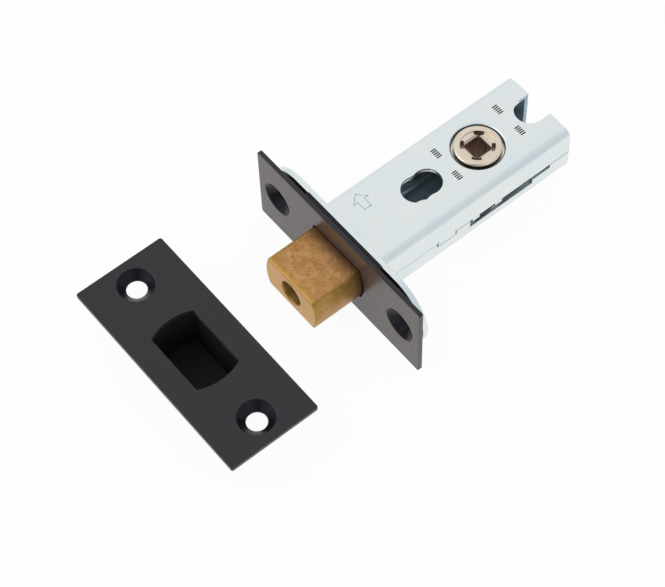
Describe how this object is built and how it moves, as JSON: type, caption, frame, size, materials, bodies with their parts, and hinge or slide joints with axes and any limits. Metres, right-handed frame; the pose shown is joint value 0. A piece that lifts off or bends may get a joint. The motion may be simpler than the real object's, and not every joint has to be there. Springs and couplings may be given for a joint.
{
  "type": "tubular bathroom deadbolt",
  "caption": "Tubular bathroom deadbolt: a square-socket follower draws a bowed brass bolt through a black forend on a plated case, with a matching strike plate and dust box.",
  "frame": {"origin": "on the spindle axis, at mid thickness of the case", "axes": "+X along the forend, +Y back into the door along the case, +Z out of the case's upper face along the spindle"},
  "size_m": [0.0608, 0.1182, 0.025],
  "materials": {
    "black_paint": "satin black powder coat on pressed steel",
    "black_nylon": "matte moulded black",
    "bright_zinc": "bright blue-white zinc plate on pressed steel",
    "raw_brass": "unpolished cast brass",
    "plain_steel": "turned steel",
    "nickel": "warm nickel plate on a die casting",
    "spring_steel": "tempered strip"
  },
  "bodies": {
    "case": {"outer_forend": "black_paint", "bolt_bush": "black_nylon", "inner_forend": "bright_zinc", "case_upper_shell": "bright_zinc", "case_lower_shell": "bright_zinc", "detent_spring": "spring_steel", "strike_plate": "black_paint", "dust_box": "black_nylon"},
    "follower": {"follower": "nickel"},
    "bolt": {"bolt_head": "raw_brass", "bolt_rivet": "plain_steel", "bolt_tail": "bright_zinc"}
  },
  "joints": [
    {"name": "follower_turn", "type": "hinge", "parent": "case", "child": "follower", "pos_m": [0, 0, 0], "axis": [0, 0, 1], "range_deg": [0, 90], "deforming": ["detent_spring"]},
    {"name": "bolt_slide", "type": "slide", "parent": "case", "child": "bolt", "axis": [0, 1, 0], "range_m": [0, 0.0128]}
  ],
  "couplings": [
    {"joint": "follower_turn", "follows": "bolt_slide", "rad_per_m": 122.72}
  ]
}
